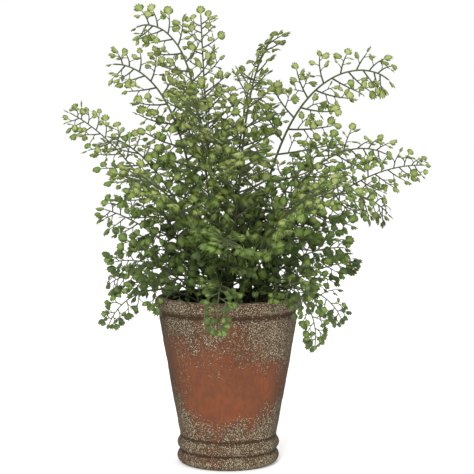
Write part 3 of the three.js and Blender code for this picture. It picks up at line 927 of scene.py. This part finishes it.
def leaflets(base, way, face, sizes, rng):
    """Fan-shaped leaflets (leaflet, corner, xyz). Flat, a corner lies at an angle from the leaflet's
    way and at a power of the cosine of that angle, which makes a round fan, less a notch between each
    two teeth. The fan is made narrower or wider, and then bent like a spoon, across its width and
    along its length."""
    count = len(base)
    across = unit(np.cross(way, face))
    up = np.cross(across, way)
    rim = LEAF_SHARE == 1
    depth = rng.uniform(0.10, 0.27, (count, 1)) * (LEAF_NOTCHES[LEAF_COLUMN] * rim)
    angle = np.radians(LEAF_DEGREES)[LEAF_COLUMN]
    radius = LEAF_SHARE * np.cos(angle) ** rng.uniform(0.50, 0.85, (count, 1)) * (1 - depth)
    radius = radius * (1 + rng.uniform(-0.05, 0.05, (count, len(angle))) * rim)
    flat = radius * np.sin(angle) * rng.uniform(0.74, 1.04, (count, 1))
    length = radius * np.cos(angle)
    aside, sunk = bent(flat, rng.uniform(0.7, 2.2, (count, 1)))
    onward, dipped = bent(length - 0.35, rng.uniform(0.2, 1.2, (count, 1)))
    rise = 0.026 * LEAF_LAYER - sunk - dipped
    return base[:, None] + sizes[:, None, None] * (
        (onward - onward[:, :1])[..., None] * way[:, None]
        + aside[..., None] * across[:, None]
        + (rise - rise[:, :1])[..., None] * up[:, None]
    )


def in_clay(points, profile):
    """Whether each point lies in the pot's clay: on the way out from it, at its own height, the
    pot's profile is crossed an odd number of times."""
    radius, height = np.hypot(points[..., :1], points[..., 1:2]), points[..., 2:]
    (near_radius, low), (far_radius, high) = profile.T, np.roll(profile, -1, axis=0).T
    crossed = (low > height) != (high > height)
    share = (height - low) / np.where(high == low, 1, high - low)
    crossed &= near_radius + (far_radius - near_radius) * share > radius
    return crossed.sum(axis=-1) % 2 == 1


def grow_frond(number, props, profile):
    """Everything of one frond: the points and faces of its stalks and of its leaflets, and the numbers
    that their materials read. Pinnae stand alternately on the rachis. A long pinna carries a sprig on
    each side near its foot, and leaflets after that. What would pass through the pot is left out."""
    rng = np.random.default_rng([props.seed, int(number)])
    rachis = Rachis(number, props.gap)
    lengths = rachis.pinna_lengths() * rng.uniform(0.88, 1.08, len(rachis.roots))
    face = sample(rachis.face, rachis.roots)
    pinnae = twigs(
        sample(rachis.curve, rachis.roots),
        sample(rachis.along, rachis.roots),
        sample(rachis.side, rachis.roots) * rachis.hands[:, None],
        face,
        lengths,
        ((56, 76), (36, 54)),
        rng,
    )
    forked = np.flatnonzero((lengths > 34 * MM) & (rachis.roots > 0.5))
    parent = np.repeat(forked, 2)
    share = np.tile([0.22, 0.34], len(forked)) + rng.uniform(-0.03, 0.03, len(parent))
    point, along, fork_face = on_paths(pinnae, face, parent, share)
    side = np.cross(fork_face, along) * np.tile([1.0, -1.0], len(forked))[:, None]
    fork_lengths = lengths[parent] * rng.uniform(0.26, 0.36, len(parent))
    sprigs = twigs(point, along, side, fork_face, fork_lengths, ((50, 66), (40, 55)), rng)

    paths = np.concatenate([pinnae, sprigs])
    faces = np.concatenate([face, fork_face])
    spans = np.concatenate([lengths, fork_lengths])
    up = np.concatenate([rachis.roots, rachis.roots[parent]])
    # the share of a branch that is bare, up to its first leaflet
    first = np.full(len(spans), 0.14)
    first[forked] = 0.42
    first[len(lengths) :] = 0.45
    pitch = props.pitch * min(1.0, max(0.75, rachis.spread / (54 * MM)))
    branch, share, hand = leaflet_sites(spans, pitch, first, rng)
    point, along, face = on_paths(paths, faces, branch, share)
    # the last one is the frond's own end leaflet
    point, along = np.vstack([point, rachis.curve[-1:]]), np.vstack([along, rachis.along[-1:]])
    face = np.vstack([face, rachis.face[-1:]])
    share, hand = np.append(share, 1.0), np.append(hand, 0.0)
    height = np.append(up[branch], 1.0)
    count = len(point)

    lean = np.radians(rng.uniform(34, 60, count))[:, None] * np.abs(hand)[:, None]
    way = along * np.cos(lean) + np.cross(face, along) * hand[:, None] * np.sin(lean)
    way = unit(way + face * rng.normal(0, 0.2, (count, 1)) - (0, 0, 0.10))
    petiole = np.where(hand == 0, 1.2 * MM, rng.uniform(3.4, 6.4, count) * MM * (1.1 - 0.4 * share))
    # leaflets are smaller high in the plant, towards a frond's tip and on a narrow frond
    climb = np.clip((point[:, 2] - SOIL_HIGH[2] - 20 * MM) / (160 * MM), 0, 1)
    growth = (1.28 - 0.36 * climb) * (1.03 - 0.17 * height) * rng.uniform(0.72, 1.08, count)
    least = 0.57 if rachis.hanging else 0.8
    growth = growth * np.clip(rachis.spread / (52 * MM), least, 1.06) * np.where(hand == 0, 1.1, 1.0)
    base = point + way * petiole[:, None]
    middle = np.array([0, 0, SOIL_HIGH[2] + 60 * MM])
    outward = unit(base - middle)
    facing = unit(0.45 * face + 0.65 * outward + (0, 0, 0.3) + rng.normal(0, 0.28, (count, 3)))
    facing = unit(facing - way * dot(facing, way))
    blades = leaflets(base, way, facing, props.leaflet * growth, rng)
    tone = rng.uniform(0, 1, count)

    steps = np.linspace(0, 1, 4)[None, :, None]
    petioles = point[:, None] * (1 - steps) + (base + way * 0.2 * MM)[:, None] * steps
    petioles = petioles + (along * (petiole * 0.12)[:, None])[:, None] * (steps * (1 - steps) * 4)
    width = props.stalk_radius * min(1.05, max(0.7, rachis.spread / (54 * MM)))
    girth = np.concatenate([0.72 - 0.20 * rachis.roots, np.full(len(sprigs), 0.40)])
    # a branch is left out, with all it carries, if it or what is 1.5 mm inwards of it is in clay
    outwards = unit(paths * (1, 1, 0)) * 1.5 * MM
    stopped = (in_clay(paths - outwards, profile) | in_clay(paths, profile)).any(axis=1)
    stopped[len(lengths) :] |= stopped[parent]
    free = ~(in_clay(blades, profile).any(axis=1) | in_clay(petioles, profile).any(axis=1))
    free &= ~np.append(stopped[branch], False)
    paths, faces, girth = (each[~stopped] for each in (paths, faces, girth))
    petioles, face, blades, base, tone = (each[free] for each in (petioles, face, blades, base, tone))
    count = len(base)
    rings = len(rachis.curve)
    parts = [
        tubes(
            rachis.curve[None],
            width * (1 - 0.50 * np.linspace(0, 1, rings))[None],
            RACHIS_SIDES,
            rachis.side[rings // 2][None, None] + 0.01,
        ),
        tubes(paths, width * girth[:, None] * (1.1 - 0.45 * PINNA_STEPS), PINNA_SIDES, faces[:, None]),
        tubes(
            petioles,
            np.full((count, 4), PETIOLE_RADIUS) * np.array([1.15, 1, 0.9, 1.0]),
            PETIOLE_SIDES,
            face[:, None],
        ),
    ]
    reach = [
        np.repeat(np.linspace(0, 0.85, rings), RACHIS_SIDES),
        np.repeat((0.45 + 0.35 * PINNA_STEPS)[None] + 0 * girth[:, None], PINNA_SIDES),
        np.full(len(parts[2][0]), 0.85),
    ]
    corners = np.array([v for each in LEAF_FACES for v in each])
    ends = np.cumsum([len(each) for each in LEAF_FACES])[:-1]
    starts = np.arange(count) * len(LEAF_COLUMN)
    leaf_faces = [each.tolist() for start in starts for each in np.split(corners + start, ends)]
    # how far out a leaflet is, which sets its painted light and shade: most towards the front and the
    # back, and less towards -X than +X
    shade_centre = middle - np.array([35 * MM, 0, 0])
    far = np.linalg.norm((base - shade_centre) * (0.32, 2.15, 0.85), axis=1)
    rise = base[:, 2] - SOIL_HIGH[2]
    outer_light_and_shade = np.clip((far - 0.03) / 0.14, 0, 1) * np.clip(rise / 0.19, 0.05, 1)
    # leaflets low in the plant are painted darker as shade, less so on a hanging frond
    outer_light_and_shade = outer_light_and_shade - (0.6 if rachis.hanging else 0.9) * np.clip(1 - rise / 0.13, 0, 1)
    return {
        "stalks": joined(parts),
        "reach": np.concatenate(reach),
        "leaflets": (blades.reshape(-1, 3), leaf_faces),
        "fans": np.tile(LEAF_FANS, (count, 1)),
        "tone": np.repeat(tone, len(LEAF_COLUMN)),
        "outer_light_and_shade": np.repeat(outer_light_and_shade, len(LEAF_COLUMN)),
    }


class FERN_OT_fronds(bpy.types.Operator):
    """Add every frond's stalks and leaflets"""

    bl_idname = "fern.fronds"
    bl_label = "Fronds"

    def execute(self, context):
        props = context.scene.fern_fronds
        profile = pot_profile(context.scene.fern_pot)
        for number in FRONDS:
            grown = grow_frond(number, props, profile)
            stalks = new_mesh(f"frond_{number}_stalks", *grown["stalks"], math.radians(60))
            store(stalks, "reach", grown["reach"])
            new_piece(stalks.name, stalks, kept(wiry_stalk, props), "stalk", f"frond_{number}_stalk")
            leaves = new_mesh(f"frond_{number}_leaflets", *grown["leaflets"], math.radians(70))
            store(leaves, "tone", grown["tone"])
            store(leaves, "outer_light_and_shade", grown["outer_light_and_shade"])
            fan = leaves.uv_layers.new(name="fan")
            fan.data.foreach_set("uv", grown["fans"].astype(np.float32).ravel())
            new_piece(leaves.name, leaves, kept(soft_leaf, props), "leaf", f"frond_{number}_blade")
        return {"FINISHED"}


# ---- the stage


def aimed(data, name, place, target):
    """Puts a light or a camera at a place, looking at a target."""
    thing = bpy.data.objects.new(name, data)
    bpy.context.scene.collection.objects.link(thing)
    thing.location = place
    thing.rotation_euler = (Vector(target) - Vector(place)).to_track_quat("-Z", "Y").to_euler()
    return thing


def soft_light(name, place, width, power):
    """A round area light, of a width in metres and a power in watts."""
    light = bpy.data.lights.new(name, "AREA")
    light.shape, light.size, light.energy = "DISK", width, power
    return aimed(light, name, place, LIGHT_TARGET)


class FERN_OT_stage(bpy.types.Operator):
    """Add the pale floor, the soft studio lights and the camera"""

    bl_idname = "fern.stage"
    bl_label = "Stage"

    def execute(self, context):
        scene = context.scene
        corners = np.array([(-1, -1, 0), (1, -1, 0), (1, 1, 0), (-1, 1, 0)]) * FLOOR_REACH
        floor = bpy.data.objects.new("floor", new_mesh("floor", corners, [[0, 1, 2, 3]]))
        scene.collection.objects.link(floor)
        floor.data.materials.append(kept(studio_floor))
        world = bpy.data.worlds.new("studio")
        world.use_nodes = True
        sky = world.node_tree.nodes["Background"]
        sky.inputs["Color"].default_value = (1, 1, 1, 1)
        sky.inputs["Strength"].default_value = 1.0
        scene.world = world
        for name, place, width, power in LIGHTS:
            soft_light(name, place, width, power)
        camera = bpy.data.cameras.new("camera")
        camera.sensor_width, camera.lens = SENSOR_WIDTH, LENS
        camera.clip_start, camera.clip_end = 0.1, 200
        scene.camera = aimed(camera, "camera", CAMERA_PLACE, CAMERA_TARGET)
        scene.view_settings.view_transform = "Standard"
        return {"FINISHED"}


class FERN_PT_parts(bpy.types.Panel):
    """The fern's pieces and their sizes"""

    bl_idname = "FERN_PT_parts"
    bl_label = "Potted Fern"
    bl_space_type = "VIEW_3D"
    bl_region_type = "UI"
    bl_category = "Fern"

    def draw(self, context):
        for group in (context.scene.fern_pot, context.scene.fern_fronds):
            box = self.layout.box()
            for name in group.__annotations__:
                box.prop(group, name)
        for operator in OPERATORS:
            self.layout.operator(operator.bl_idname)


OPERATORS = (FERN_OT_clay_pot, FERN_OT_soil, FERN_OT_rhizome, FERN_OT_fronds, FERN_OT_stage)
CLASSES = (PotProperties, FrondProperties, *OPERATORS, FERN_PT_parts)


def register():
    """Makes the classes and the two groups of sizes and colours known."""
    for each in CLASSES:
        bpy.utils.register_class(each)
    bpy.types.Scene.fern_pot = PointerProperty(type=PotProperties)
    bpy.types.Scene.fern_fronds = PointerProperty(type=FrondProperties)


def unregister():
    """Takes back what register() did."""
    del bpy.types.Scene.fern_fronds
    del bpy.types.Scene.fern_pot
    for each in reversed(CLASSES):
        bpy.utils.unregister_class(each)


def main():
    """Makes every piece, then the stage."""
    register()
    bpy.ops.fern.clay_pot()
    bpy.ops.fern.soil()
    bpy.ops.fern.rhizome()
    bpy.ops.fern.fronds()
    bpy.ops.fern.stage()


if __name__ == "__main__":
    main()
